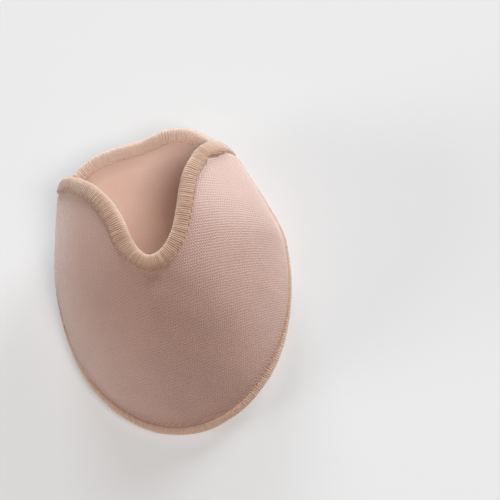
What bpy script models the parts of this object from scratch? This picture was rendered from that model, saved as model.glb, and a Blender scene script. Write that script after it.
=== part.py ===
"""A padded toe pad for a pointe shoe: a domed top panel and a longer sole panel, sewn into an open pouch.

The pad lies on its sole on z = 0, with its toe towards -Y and its mouth towards +Y. The origin is on the floor
under the middle of its width and length. Each panel is a padded wall.
Round the toe the two walls are squeezed together and wrapped by the threads of the side seam, which stands
out as a flange. The threads of the mouth edge wrap the free edges of both walls, in one loop over the ends of
the side seam. Sizes are in millimetres and angles in degrees.
"""

import math

import bmesh
import bpy
import numpy as np
from mathutils import Matrix

MM = 0.001

# The seam line in plan, measured from the toe
HALF_WIDTH = 36.9
WIDEST_AT = 51.0
CORNER_AT = 86.0
MOUTH_HALF_WIDTH = 26.5
MOUTH_SIDEWAYS = -2.2
TAPER_ROUNDING = 0.16

# The seam line above the floor
SEAM_AT_TOE = 4.4
SEAM_AT_MIDDLE = 9.0
SEAM_AT_CORNERS = 16.0

# The dome of the top panel above the seam line, and half of its arc at three places
DOME_RISE = 29.5
DOME_PEAK_AT = 47.0
MOUTH_RISE = 20.5
ARC_AT_TOE = 40.0
ARC_AT_WIDEST = 72.0
ARC_AT_CORNERS = 90.0

# The sole panel: flat on the floor in the middle, lifted at the mouth
SOLE_FLAT_FROM = 0.65
MOUTH_LIFT = 10.5
LIFT_FROM = 56.0

# The mouth edges of the two panels
NOTCH_AT = 44.5
TONGUE = 9.5

# The walls, and the threads that wrap their edges
WALL = 2.6
SQUEEZED_WALL = 0.75
PAD_FADE = 6.0
PLY_GAP = 0.5
GAP = 0.4
THREAD = 0.5
MOUTH_BAND = 4.5
FLANGE = 3.2
FLANGE_LIP = 0.7
FOLDED_LIP = 1.2
FLANGE_END = 1.6
FLANGE_FADE = 26.0
FLANGE_DROOP = 84.0
DROOP_FADE = 10.0
EDGE_NOSE = 0.12
TUCK_CLEAR = 3.2
TUCK_FADE = 3.0
PANEL_CORNER_INSET = 2.8
THREAD_CORNER_INSET = 3.5
CORNER_EASE = 0.3

# The top panel's mouth edge: across is a share of the half width, up a share of the way from notch to corner
TOP_RIM = (
    # across, up
    (-1.00, 1.00),
    (-0.72, 0.92),
    (-0.42, 0.79),
    (-0.25, 0.61),
    (-0.15, 0.38),
    (-0.10, 0.16),
    (-0.02, 0.02),
    (0.07, 0.02),
    (0.16, 0.13),
    (0.22, 0.29),
    (0.28, 0.48),
    (0.35, 0.66),
    (0.50, 0.84),
    (0.72, 0.94),
    (1.00, 1.00),
)

# The sole panel's mouth edge: across is a share of the half width, up a share of the tongue
SOLE_RIM = (
    # across, up
    (-1.00, 0.00),
    (-0.92, 0.25),
    (-0.83, 0.46),
    (-0.70, 0.63),
    (-0.48, 0.75),
    (-0.22, 0.80),
    (0.02, 0.83),
    (0.20, 0.90),
    (0.40, 0.96),
    (0.60, 0.92),
    (0.75, 0.76),
    (0.86, 0.50),
    (0.94, 0.22),
    (1.00, 0.00),
)

# The outside of the threads, as shares of their reach from the lip and of their half thickness
THREAD_ROUND = (
    # out, up
    (0.00, 1.00),
    (0.55, 1.00),
    (0.88, 0.80),
    (1.00, 0.30),
)

COLUMNS = 60
COLUMN_LEAD = 0.45
BLUNT_FOLD = 0.62
MOUTH_STATIONS = 62
# Rows of a panel, as shares of the way from the seam to the mouth edge
ROWS = (0.0, 0.03, 0.08, 0.15, 0.25, 0.37, 0.50, 0.63, 0.75, 0.86, 0.94, 1.0)
CURVE_STEPS = 40
SLOPE_STEP = 0.3
SLOPE_INSET = 0.1
TINY = 1e-6
SHARP_FROM = 40.0

FABRIC_COLOUR = (0.47, 0.30, 0.25)
FABRIC_ROUGHNESS = 0.85
THREAD_COLOUR = (0.56, 0.38, 0.30)
THREAD_ROUGHNESS = 0.75

# From the seam line to the outside of a squeezed wall
PLY = PLY_GAP / 2 + SQUEEZED_WALL


def smoothstep(share):
    """Ease from 0 to 1 as the share goes from 0 to 1."""
    share = np.clip(share, 0.0, 1.0)
    return share * share * (3.0 - 2.0 * share)


def unit(vectors):
    """The vectors at length 1."""
    return vectors / np.linalg.norm(vectors, axis=-1, keepdims=True)


# The forms of the two panels

def half_width(y):
    """Half width of the seam line: half an ellipse at the toe, then a rounded taper to the mouth."""
    back = 1.0 - np.minimum(y, WIDEST_AT) / WIDEST_AT
    ellipse = HALF_WIDTH * np.sqrt(np.clip(1.0 - back * back, TINY, 1.0))
    run = np.maximum(y - WIDEST_AT, 0.0) / (CORNER_AT - WIDEST_AT)
    taper = np.hypot(run, TAPER_ROUNDING) - TAPER_ROUNDING
    full_taper = math.hypot(1.0, TAPER_ROUNDING) - TAPER_ROUNDING
    return ellipse - (HALF_WIDTH - MOUTH_HALF_WIDTH) * taper / full_taper


def sideways(y):
    """How far the pad leans to one side in plan: nothing up to the widest place, most at the mouth."""
    return MOUTH_SIDEWAYS * smoothstep((y - WIDEST_AT) / (CORNER_AT + TONGUE - WIDEST_AT))


def seam_height(y):
    """Height of the seam line, on one smooth bend through its heights at the toe, middle and corners."""
    share = y / CORNER_AT
    toe = SEAM_AT_TOE * (1.0 - share) * (1.0 - 2.0 * share)
    middle = SEAM_AT_MIDDLE * 4.0 * share * (1.0 - share)
    corners = SEAM_AT_CORNERS * share * (2.0 * share - 1.0)
    return toe + middle + corners


def dome_rise(y):
    """Rise of the dome over the seam line, in the middle of the pad."""
    climb = 1.0 - (1.0 - np.minimum(y / DOME_PEAK_AT, 1.0)) ** 2
    past = np.maximum(y - DOME_PEAK_AT, 0.0) / (CORNER_AT - DOME_PEAK_AT)
    return DOME_RISE * climb - (DOME_RISE - MOUTH_RISE) * past ** 2


def dome_arc(y):
    """Half of the dome's arc in radians: shallow at the toe, nearly a half circle at the mouth."""
    to_widest = smoothstep(y / WIDEST_AT)
    to_corners = smoothstep((y - WIDEST_AT) / (CORNER_AT - WIDEST_AT))
    degrees = ARC_AT_TOE + (ARC_AT_WIDEST - ARC_AT_TOE) * to_widest
    degrees = degrees + (ARC_AT_CORNERS - ARC_AT_WIDEST) * to_corners
    return np.radians(degrees)


def droop(y):
    """Angle in radians by which the flange hangs: level at the toe and the corners, steep at the sides."""
    from_toe = smoothstep(y / WIDEST_AT)
    to_corners = smoothstep((y - CORNER_AT + MOUTH_BAND + DROOP_FADE) / DROOP_FADE)
    return math.radians(FLANGE_DROOP) * from_toe * (1.0 - to_corners)


def top_point(x, y):
    """Outside of the top panel over a point of the plan."""
    width = half_width(y)
    arc = dome_arc(y)
    angle = arc * x / width
    across = (width + PLY * np.sin(droop(y))) * np.sin(angle) / np.sin(arc)
    up = dome_rise(y) * (np.cos(angle) - np.cos(arc)) / (1.0 - np.cos(arc))
    return np.stack([across + sideways(y), y, seam_height(y) + PLY * np.cos(droop(y)) + up], axis=-1)


def sole_point(x, y):
    """Outside of the sole panel under a point of the plan: flat in the middle and curled up to the seam."""
    width = half_width(y)
    inside = (width ** 2 - x ** 2) / HALF_WIDTH ** 2
    curl = np.maximum(1.0 - inside / SOLE_FLAT_FROM, 0.0) ** 2
    lift = MOUTH_LIFT * (np.maximum(y - LIFT_FROM, 0.0) / (CORNER_AT - LIFT_FROM)) ** 2
    across = x * (1.0 - PLY * np.sin(droop(y)) / width)
    seam = seam_height(y) - PLY * np.cos(droop(y))
    return np.stack([across + sideways(y), y, lift + (seam - lift) * curl], axis=-1)


def slopes(form, x, y):
    """Slopes of a form along X and along Y, measured a little inside the point."""
    middle = np.array([0.0, WIDEST_AT])
    inward = unit(middle - np.stack([x, y], axis=-1) + TINY) * SLOPE_INSET
    x = x + inward[..., 0]
    y = y + inward[..., 1]
    half = SLOPE_INSET / 2
    along_x = (form(x + SLOPE_STEP, y) - form(x - SLOPE_STEP, y)) / (2 * SLOPE_STEP)
    along_y = (form(x, y + half) - form(x, y - half)) / (2 * half)
    return along_x, along_y


def outward(form, x, y):
    """Unit vector that points away from the hollow."""
    along_x, along_y = slopes(form, x, y)
    up = 1.0 if form is top_point else -1.0
    return unit(np.cross(along_x, along_y)) * up


# Lines in the plan, each read at even steps of its real length

def smooth_curve(points):
    """A smooth curve through the rows of a table."""
    points = np.array(points, dtype=float)
    padded = np.vstack([2 * points[0] - points[1], points, 2 * points[-1] - points[-2]])
    t = np.linspace(0.0, 1.0, CURVE_STEPS, endpoint=False)[:, None]
    pieces = []
    for before, start, end, after in zip(padded[:-3], padded[1:-2], padded[2:-1], padded[3:]):
        bend = 2 * before - 5 * start + 4 * end - after
        turn = -before + 3 * start - 3 * end + after
        pieces.append(0.5 * (2 * start + (end - before) * t + bend * t ** 2 + turn * t ** 3))
    return np.vstack(pieces + [points[-1:]])


def top_rim_plan():
    """The top panel's mouth edge in plan, from the left corner to the right one."""
    across, up = smooth_curve(TOP_RIM).T
    y = NOTCH_AT + (CORNER_AT - NOTCH_AT) * up
    return np.stack([across * half_width(y), y], axis=-1)


def sole_rim_plan():
    """The sole panel's mouth edge in plan, from the left corner to the right one."""
    across, up = smooth_curve(SOLE_RIM).T
    y = CORNER_AT + TONGUE * up
    return np.stack([across * half_width(y), y], axis=-1)


def seam_plan():
    """The seam line in plan, from the left corner round the toe to the right corner."""
    steps = CURVE_STEPS * 4
    side_y = np.linspace(CORNER_AT, WIDEST_AT, steps, endpoint=False)
    left = np.stack([-half_width(side_y), side_y], axis=-1)
    turn = np.linspace(-math.pi / 2, math.pi / 2, 2 * steps + 1)
    toe = np.stack([HALF_WIDTH * np.sin(turn), WIDEST_AT * (1.0 - np.cos(turn))], axis=-1)
    right = (left * (-1.0, 1.0))[::-1]
    return np.vstack([left, toe, right])


def real_length(form, plan):
    """Length along a plan line as it lies on a form, from its start to each point."""
    steps = np.linalg.norm(np.diff(form(plan[:, 0], plan[:, 1]), axis=0), axis=1)
    return np.concatenate([[0.0], np.cumsum(steps)])


def even_steps(form, plan, inset, count):
    """Points of a plan line at even steps of its real length, and their distance from the nearer end."""
    length = real_length(form, plan)
    places = np.linspace(inset, length[-1] - inset, count)
    points = np.stack([np.interp(places, length, plan[:, axis]) for axis in (0, 1)], axis=-1)
    return points, np.minimum(places, length[-1] - places)


def step_inward(form, plan, distance):
    """Points at a real distance inside a mouth edge, square to the edge."""
    along_x, along_y = slopes(form, plan[:, 0], plan[:, 1])
    run = np.gradient(form(plan[:, 0], plan[:, 1]), axis=0)
    normal = unit(np.cross(along_x, along_y))
    inward = np.cross(unit(run), normal)
    area = np.sum(np.cross(along_x, along_y) * normal, axis=-1)
    step_x = np.sum(np.cross(inward, along_y) * normal, axis=-1) / area
    step_y = np.sum(np.cross(along_x, inward) * normal, axis=-1) / area
    return plan + distance * np.stack([step_x, step_y], axis=-1)


# The side seam's own directions

def seam_frames(plan):
    """Places of the seam line with its outward and upward directions."""
    x, y = plan.T
    places = np.column_stack([x + sideways(y), y, seam_height(y)])
    run = unit(np.gradient(places, axis=0))
    level = unit(np.cross(run, (0.0, 0.0, 1.0)))
    upright = np.cross(level, run)
    angle = droop(y)[:, None]
    out = level * np.cos(angle) - upright * np.sin(angle)
    up = level * np.sin(angle) + upright * np.cos(angle)
    return places, out, up


def flange_reach(distance):
    """How far the flange stands out, narrowing where it meets the mouth edge."""
    return FLANGE_END + (FLANGE - FLANGE_END) * smoothstep((distance - MOUTH_BAND) / FLANGE_FADE)


def flange_lip(y):
    """Where the threads begin: further out where the flange folds down beside the sole."""
    return FLANGE_LIP + FOLDED_LIP * np.sin(droop(y))


def tucked_edge(distance):
    """How far a wall's squeezed edge reaches into the flange, nothing where the mouth edge wraps it."""
    full = flange_reach(distance) - THREAD - GAP
    clear = smoothstep((distance - MOUTH_BAND - TUCK_CLEAR) / TUCK_FADE)
    return EDGE_NOSE + (full - EDGE_NOSE) * clear


# Sections and meshes

def panel_sections(form, rim_plan):
    """Closed sections of a padded wall, one for each column from the seam to the mouth edge."""
    seam, distance = even_steps(form, seam_plan(), PANEL_CORNER_INSET, COLUMNS + 1)
    inner_rim = step_inward(form, rim_plan, THREAD + GAP)
    rim, _ = even_steps(form, inner_rim, PANEL_CORNER_INSET, COLUMNS + 1)
    run = unit(np.gradient(seam, axis=0))
    inward = np.stack([-run[:, 1], run[:, 0]], axis=-1)
    lead = COLUMN_LEAD * np.linalg.norm(rim - seam, axis=1, keepdims=True)
    share = np.array(ROWS)[None, :, None]
    start = seam[:, None]
    bend = (seam + inward * lead)[:, None]
    end = rim[:, None]
    plan = (1 - share) ** 2 * start + 2 * share * (1 - share) * bend + share ** 2 * end
    outside = form(plan[..., 0], plan[..., 1])
    normal = outward(form, plan[..., 0], plan[..., 1])
    steps = np.linalg.norm(np.diff(outside, axis=1), axis=2)
    from_seam = np.concatenate([np.zeros((len(steps), 1)), np.cumsum(steps, axis=1)], axis=1)
    thickness = SQUEEZED_WALL + (WALL - SQUEEZED_WALL) * smoothstep(from_seam / PAD_FADE)
    inside = outside - normal * thickness[..., None]
    _, out, up = seam_frames(seam)
    if form is sole_point:
        up = -up
    facing = normal[:, 0]
    lean = np.maximum(1.0 + np.sum(facing * up, axis=1, keepdims=True), BLUNT_FOLD)
    inside[:, 0] = outside[:, 0] - (facing + up) * SQUEEZED_WALL / lean
    nose = outside[:, 0] + out * tucked_edge(distance)[:, None]
    under_nose = nose - up * SQUEEZED_WALL
    return np.concatenate([nose[:, None], outside, inside[:, ::-1], under_nose[:, None]], axis=1)


def thread_outline(reach, half_inside):
    """Outline of threads that wrap an edge: a round outside and a slot that is open at the lip."""
    round_out, round_up = np.array(THREAD_ROUND).T
    half = half_inside + THREAD
    outer = np.stack([round_out * reach, round_up * half], axis=-1)
    floor = reach - THREAD
    slot = np.array([(0.0, -half_inside), (floor, -half_inside), (floor, half_inside), (0.0, half_inside)])
    return np.vstack([outer, (outer * (1.0, -1.0))[::-1], slot])


def side_seam_sections():
    """Sections of the flange's threads, from below one mouth corner round the toe to the other."""
    start = MOUTH_BAND + THREAD
    seam, distance = even_steps(sole_point, seam_plan(), start, COLUMNS + 1)
    places, out, up = seam_frames(seam)
    reaches = flange_reach(distance)
    lips = flange_lip(seam[:, 1])
    sections = []
    for place, outwards, upwards, reach, lip in zip(places, out, up, reaches, lips):
        outline = thread_outline(reach - lip, PLY + GAP)
        along = outline[:, :1] + lip
        sections.append(place + outwards * along + upwards * outline[:, 1:])
    return np.array(sections)


def mouth_stations(form, rim_plan):
    """Free edge, lip and their outward directions along one panel's mouth edge."""
    edge_plan, _ = even_steps(form, rim_plan, THREAD_CORNER_INSET, MOUTH_STATIONS)
    lip_plan = step_inward(form, edge_plan, MOUTH_BAND)
    edge = form(edge_plan[:, 0], edge_plan[:, 1])
    lip = form(lip_plan[:, 0], lip_plan[:, 1])
    return np.stack([edge, lip, outward(form, *edge_plan.T), outward(form, *lip_plan.T)], axis=1)


def corner_station(side):
    """The mouth edge's station at a corner, mitred between the two panels."""
    seam = seam_plan()
    length = real_length(sole_point, seam)
    y = np.array([CORNER_AT, np.interp(MOUTH_BAND, length, seam[:, 1])])
    x = side * half_width(y)
    top_wall = top_point(x, y)
    sole_wall = sole_point(x, y)
    top = outward(top_point, x, y)
    sole = outward(sole_point, x, y)
    middle = (top_wall + sole_wall) / 2
    turn = np.sum(top * sole, axis=1, keepdims=True)
    to_top = np.sum(top * (top_wall - middle), axis=1, keepdims=True)
    to_sole = np.sum(sole * (sole_wall - middle), axis=1, keepdims=True)
    to_meeting = top * (to_top - turn * to_sole) + sole * (to_sole - turn * to_top)
    meeting = middle + to_meeting / (1.0 - turn ** 2)
    mitre = (top + sole) / (1.0 + turn)
    return np.vstack([meeting + mitre * CORNER_EASE, mitre])[None]


def mouth_sections():
    """Sections of the threads of the mouth edge, one closed loop over both panels."""
    top = mouth_stations(top_point, top_rim_plan())
    sole = mouth_stations(sole_point, sole_rim_plan())[::-1]
    stations = np.concatenate([corner_station(-1), top, corner_station(1), sole])
    outline = thread_outline(MOUTH_BAND, WALL / 2 + GAP)
    share = outline[None, :, :1] / MOUTH_BAND
    across = outline[None, :, 1:] - WALL / 2
    edge, lip, edge_out, lip_out = (stations[:, None, i] for i in range(4))
    return lip + (edge - lip) * share + (lip_out + (edge_out - lip_out) * share) * across


def skin(name, sections, closed, material):
    """One closed mesh object over a row of sections."""
    mesh = bmesh.new()
    rings = [[mesh.verts.new(point * MM) for point in section] for section in sections]
    pairs = list(zip(rings, rings[1:]))
    if closed:
        pairs.append((rings[-1], rings[0]))
    for ring, following in pairs:
        for i in range(len(ring)):
            mesh.faces.new((ring[i - 1], ring[i], following[i], following[i - 1]))
    if not closed:
        for ring in (rings[0], rings[-1]):
            mesh.faces.new(ring)
    bmesh.ops.triangulate(mesh, faces=[face for face in mesh.faces if len(face.verts) > 4])
    bmesh.ops.recalc_face_normals(mesh, faces=mesh.faces)
    data = bpy.data.meshes.new(name)
    mesh.to_mesh(data)
    mesh.free()
    data.shade_smooth()
    data.set_sharp_from_angle(angle=math.radians(SHARP_FROM))
    data.materials.append(material)
    thing = bpy.data.objects.new(name, data)
    bpy.context.scene.collection.objects.link(thing)
    return thing


def cloth_material(name, colour, roughness):
    """A plain cloth surface."""
    material = bpy.data.materials.new(name)
    material.use_nodes = True
    shader = material.node_tree.nodes["Principled BSDF"]
    shader.inputs["Base Color"].default_value = (*colour, 1.0)
    shader.inputs["Roughness"].default_value = roughness
    shader.inputs["Metallic"].default_value = 0.0
    return material


def centre_on_floor(things):
    """Put the origin under the middle of the pad's width and length."""
    corners = np.array([vertex.co[:] for thing in things for vertex in thing.data.vertices])
    middle = (corners.min(axis=0) + corners.max(axis=0)) / 2
    for thing in things:
        thing.data.transform(Matrix.Translation((-middle[0], -middle[1], 0.0)))


def clear_scene():
    """Remove what the scene holds."""
    for thing in list(bpy.data.objects):
        bpy.data.objects.remove(thing, do_unlink=True)


def build():
    """The four sub-parts of the pad."""
    clear_scene()
    fabric = cloth_material("knit_fabric", FABRIC_COLOUR, FABRIC_ROUGHNESS)
    thread = cloth_material("overlock_thread", THREAD_COLOUR, THREAD_ROUGHNESS)
    pieces = (
        skin("top_panel", panel_sections(top_point, top_rim_plan()), False, fabric),
        skin("sole_panel", panel_sections(sole_point, sole_rim_plan()), False, fabric),
        skin("side_seam_overlock", side_seam_sections(), False, thread),
        skin("mouth_overlock", mouth_sections(), True, thread),
    )
    centre_on_floor(pieces)


build()
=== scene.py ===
# %% [markdown]
# # A padded toe pad for a pointe shoe
# A dancer pulls this pad over the toes before the pointe shoe goes on. It is an open pouch of foam-backed
# knit: a domed panel over the toes, a longer panel under them, a sewn edge round the toe and one round the
# mouth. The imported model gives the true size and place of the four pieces. This lesson dresses them: it
# gives the padded walls the folds of sewn cloth, knits their surface, and wraps their edges in single
# threads.

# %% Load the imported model
import math

import bmesh
import bpy
import numpy as np
from mathutils import Matrix, Vector, noise


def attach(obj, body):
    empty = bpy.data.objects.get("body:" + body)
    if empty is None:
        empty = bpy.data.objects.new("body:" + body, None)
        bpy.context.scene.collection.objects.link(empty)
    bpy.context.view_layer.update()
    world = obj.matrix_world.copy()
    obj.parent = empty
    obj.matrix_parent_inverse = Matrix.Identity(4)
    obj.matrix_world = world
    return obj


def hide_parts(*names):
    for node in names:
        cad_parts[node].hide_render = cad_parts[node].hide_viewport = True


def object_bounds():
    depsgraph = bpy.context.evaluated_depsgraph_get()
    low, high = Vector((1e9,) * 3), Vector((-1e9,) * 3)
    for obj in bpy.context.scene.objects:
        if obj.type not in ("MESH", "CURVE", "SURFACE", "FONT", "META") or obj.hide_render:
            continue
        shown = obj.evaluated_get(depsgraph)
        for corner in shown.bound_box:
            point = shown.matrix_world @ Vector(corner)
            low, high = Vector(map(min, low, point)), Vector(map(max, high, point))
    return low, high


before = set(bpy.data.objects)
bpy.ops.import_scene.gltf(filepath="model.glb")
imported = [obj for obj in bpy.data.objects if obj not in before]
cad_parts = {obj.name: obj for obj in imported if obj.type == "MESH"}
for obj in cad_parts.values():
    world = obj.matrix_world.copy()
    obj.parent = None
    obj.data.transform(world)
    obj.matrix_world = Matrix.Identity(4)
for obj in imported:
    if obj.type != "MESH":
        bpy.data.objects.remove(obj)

MM = 0.001
cad_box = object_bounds()
print("packed nodes:", sorted(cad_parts))
print("packed size in mm:", [round(side / MM, 1) for side in cad_box[1] - cad_box[0]])

# %% [markdown]
# ## Helpers
# Every object goes into the scene in the same way, and materials and threads are made of nodes. One helper
# adds a node and fills its inputs, one does arithmetic, and one lets a value fade. They find the tree from
# the sockets that they are given, so that each tree below reads as a short recipe.

# %% Objects and nodes
def new_object(name, data):
    """An object with the given data, put into the scene."""
    made = bpy.data.objects.new(name, data)
    bpy.context.scene.collection.objects.link(made)
    return made


def fill(node, inputs):
    """Fill a node's inputs from values or from other nodes' sockets."""
    for key, value in inputs.items():
        if isinstance(value, bpy.types.NodeSocket):
            node.id_data.links.new(value, node.inputs[key])
        else:
            node.inputs[key].default_value = value


def add(tree, kind, inputs, **settings):
    """Add a node with its settings and its inputs."""
    made = tree.nodes.new(kind)
    for name, value in settings.items():
        setattr(made, name, value)
    fill(made, inputs)
    return made


def put(tree, kind, inputs, output=0, **settings):
    """Add a node, and return one of its outputs."""
    return add(tree, kind, inputs, **settings).outputs[output]


def calc(operation, *values, kind="ShaderNodeMath"):
    """The result of a Math node, in the tree of the sockets that it is given."""
    tree = next(value for value in values if isinstance(value, bpy.types.NodeSocket)).id_data
    return put(tree, kind, dict(enumerate(values)), operation=operation)


def vector_calc(operation, *values):
    """The result of a Vector Math node."""
    return calc(operation, *values, kind="ShaderNodeVectorMath")


def scaled(vector, scale):
    """A vector at another length."""
    return put(vector.id_data, "ShaderNodeVectorMath", {0: vector, "Scale": scale}, operation="SCALE")


def fade(value, start, end, first, last):
    """A value that goes from first to last as another goes from start to end."""
    return put(value.id_data, "ShaderNodeMapRange", {0: value, 1: start, 2: end, 3: first, 4: last})


def open_tree(name, kind, inputs, outputs):
    """A node group with inputs (name, kind, value) and outputs (name, kind), and its two inner ends."""
    tree = bpy.data.node_groups.new(name, kind)
    for title, socket_kind, value in inputs:
        socket = tree.interface.new_socket(title, in_out="INPUT", socket_type="NodeSocket" + socket_kind)
        if value is not None:
            socket.default_value = value
    for title, socket_kind in outputs:
        tree.interface.new_socket(title, in_out="OUTPUT", socket_type="NodeSocket" + socket_kind)
    return tree, tree.nodes.new("NodeGroupInput").outputs, tree.nodes.new("NodeGroupOutput")


def plain_material(name):
    """A material with nodes, and its shader."""
    material = bpy.data.materials.new(name)
    material.use_nodes = True
    return material, material.node_tree.nodes["Principled BSDF"]


print("Blender", bpy.app.version_string)

# %% [markdown]
# ## The camera
# The pad lies on its sole, and the camera looks down on it from the toe's side, turned a little to the
# pad's right. A long lens from far away keeps the outline as it is in a product photograph. The camera
# could be aimed by eye with a constraint, but three things are easier to repeat as numbers: the direction
# from the pad to the camera, the roll, and how far the pad sits from the middle of the picture.

# %% Place the camera
BACK = Vector((0.2, -0.36, 0.911)).normalized()
AIM_FROM_TOE = 0.0472
AIM_HEIGHT = 0.0192
DISTANCE = 0.673
ROLL = math.radians(-7.95)
LENS = 153.4
SENSOR = 36.0
RIGHT_OF_PAD = 0.0401
ABOVE_PAD = 0.0134

level_up = (Vector((0, 1, 0)) - BACK * BACK.y).normalized()
level_right = level_up.cross(BACK)
right = level_right * math.cos(ROLL) + level_up * math.sin(ROLL)
up = level_up * math.cos(ROLL) - level_right * math.sin(ROLL)
look = (-BACK + right * RIGHT_OF_PAD + up * ABOVE_PAD).normalized()
side = look.cross(up).normalized()
camera_data = bpy.data.cameras.new("camera")
camera_data.lens = LENS
camera_data.sensor_width = SENSOR
camera = new_object("camera", camera_data)
place = Matrix((side, side.cross(look), -look)).transposed().to_4x4()
place.translation = Vector((0.0, cad_box[0].y + AIM_FROM_TOE, AIM_HEIGHT)) + BACK * DISTANCE
camera.matrix_world = place
bpy.context.scene.camera = camera
print("camera elevation:", round(math.degrees(math.asin(BACK.z)), 1))

# %% [markdown]
# ## Floor and light
# The pad lies on a pale table that glows a little from below, as tables for product photographs do, so its
# shadow stays thin. Four soft lights stand well away: low behind the pad on the right, low behind it, low
# on its left, and high in front on the right. The lobe on the right is therefore the brightest part and the
# toe the darkest. The two lights behind are a little cool and alone show as gloss, and the one in front is
# a little warm, so that the highlights are nearly white on a warm cloth. Lamps near the pad would do too,
# but then the table would be brighter near them, and here it is one even tone.

# %% Make the floor and the lights
WHITE = (1.0, 1.0, 1.0, 1.0)
FLOOR_REACH = 6.0
FLOOR_LOOK = {
    "Base Color": (0.54, 0.54, 0.54, 1.0),
    "Roughness": 0.9,
    "Specular IOR Level": 0.0,
    "Emission Color": WHITE,
    "Emission Strength": 0.24,
}
ROOM_GLOW = 0.02
LIGHT_SIZE = 2.4
LIGHT_AWAY = 6.0
COOL = (0.94, 1.02, 1.06)
NEUTRAL = (1.0, 1.0, 1.0)
WARM = (1.07, 0.985, 0.95)
LIGHTS = (
    # name, degrees round from the pad's right, degrees above the floor, watts, colour, shows as gloss
    ("key_light", 45, 15, 374, COOL, True),
    ("back_light", 90, 15, 300, COOL, True),
    ("left_light", 180, 15, 208, NEUTRAL, False),
    ("front_light", -45, 55, 205, WARM, False),
)

floor_mesh = bpy.data.meshes.new("floor")
corners = [(x * FLOOR_REACH, y * FLOOR_REACH, 0) for x, y in ((-1, -1), (1, -1), (1, 1), (-1, 1))]
floor_mesh.from_pydata(corners, [], [(0, 1, 2, 3)])
floor = new_object("floor", floor_mesh)
floor_material, floor_shader = plain_material("pale_floor")
fill(floor_shader, FLOOR_LOOK)
floor_mesh.materials.append(floor_material)


def soft_light(name, around, above, watts, colour, gloss):
    """A large square light that faces the pad."""
    around, above = math.radians(around), math.radians(above)
    way = Vector((math.cos(around) * math.cos(above), math.sin(around) * math.cos(above), math.sin(above)))
    data = bpy.data.lights.new(name, "AREA")
    data.size = LIGHT_SIZE
    data.energy = watts
    data.color = colour
    light = new_object(name, data)
    light.location = way * LIGHT_AWAY
    light.rotation_euler = (-way).to_track_quat("-Z", "Y").to_euler()
    light.visible_glossy = gloss


for light in LIGHTS:
    soft_light(*light)
world = bpy.data.worlds.new("white_room")
world.use_nodes = True
fill(world.node_tree.nodes["Background"], {"Color": WHITE, "Strength": ROOM_GLOW})
bpy.context.scene.world = world
bpy.context.scene.view_settings.view_transform = "Standard"
print("lights:", [light[0] for light in LIGHTS])

# %% [markdown]
# ## The pad's form
# The two panels are patterns cut from flat cloth, so it helps to think of them in plan: x across the pad
# and y from the toe to the mouth. One function lifts a point of the plan onto the dome of the top panel,
# and one drops it onto the sole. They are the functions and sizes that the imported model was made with, in
# millimetres, so every piece that is drawn from them lies where the model says. Only the flange follows the
# photo more closely: it also hangs a little at the toe, comes level in a shorter stretch before the
# corners, and ends narrower there.

# %% Sizes of the pad
HALF_WIDTH = 36.9
WIDEST_AT = 51.0
CORNER_AT = 86.0
MOUTH_HALF_WIDTH = 26.5
MOUTH_SIDEWAYS = -2.2
TAPER_ROUNDING = 0.16
SEAM_AT_TOE = 4.4
SEAM_AT_MIDDLE = 9.0
SEAM_AT_CORNERS = 16.0
DOME_RISE = 29.5
DOME_PEAK_AT = 47.0
MOUTH_RISE = 20.5
ARC_AT_TOE = 40.0
ARC_AT_WIDEST = 72.0
ARC_AT_CORNERS = 90.0
SOLE_FLAT_FROM = 0.65
MOUTH_LIFT = 10.5
LIFT_FROM = 56.0
NOTCH_AT = 44.5
TONGUE = 9.5
WALL = 2.6
SQUEEZED_WALL = 0.75
PAD_FADE = 6.0
PLY = 1.0
GAP = 0.4
THREAD = 0.5
MOUTH_BAND = 4.5
FLANGE = 3.2
FLANGE_LIP = 0.7
FOLDED_LIP = 1.2
FLANGE_END = 1.3
FLANGE_FADE = 26.0
FLANGE_DROOP = 84.0
TOE_DROOP = 24.0
DROOP_FADE = 4.0
PANEL_CORNER_INSET = 2.8
THREAD_CORNER_INSET = 3.5
CORNER_EASE = 0.3
TINY = 1e-6
SHIFT = np.array([0.0, cad_box[0].y / MM + FLANGE, 0.0])
print("the toe's seam lies at y =", round(float(SHIFT[1]), 2), "mm")


# %% Forms of the two panels
def smoothstep(share):
    """Ease from 0 to 1 as the share goes from 0 to 1."""
    share = np.clip(share, 0.0, 1.0)
    return share * share * (3.0 - 2.0 * share)


def length_of(vectors):
    """The length of each vector."""
    return np.linalg.norm(vectors, axis=-1)


def unit(vectors):
    """The vectors at length 1."""
    return vectors / length_of(vectors)[..., None]


def half_width(y):
    """Half width of the seam line: half an ellipse at the toe, then a rounded taper to the mouth."""
    back = 1.0 - np.minimum(y, WIDEST_AT) / WIDEST_AT
    ellipse = HALF_WIDTH * np.sqrt(np.clip(1.0 - back * back, TINY, 1.0))
    run = np.maximum(y - WIDEST_AT, 0.0) / (CORNER_AT - WIDEST_AT)
    taper = np.hypot(run, TAPER_ROUNDING) - TAPER_ROUNDING
    full_taper = math.hypot(1.0, TAPER_ROUNDING) - TAPER_ROUNDING
    return ellipse - (HALF_WIDTH - MOUTH_HALF_WIDTH) * taper / full_taper


def sideways(y):
    """How far the pad leans to one side in plan: nothing up to the widest place, most at the mouth."""
    return MOUTH_SIDEWAYS * smoothstep((y - WIDEST_AT) / (CORNER_AT + TONGUE - WIDEST_AT))


def seam_height(y):
    """Height of the seam line, on one smooth bend through its heights at the toe, middle and corners."""
    share = y / CORNER_AT
    toe = SEAM_AT_TOE * (1.0 - share) * (1.0 - 2.0 * share)
    middle = SEAM_AT_MIDDLE * 4.0 * share * (1.0 - share)
    corners = SEAM_AT_CORNERS * share * (2.0 * share - 1.0)
    return toe + middle + corners


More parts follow.
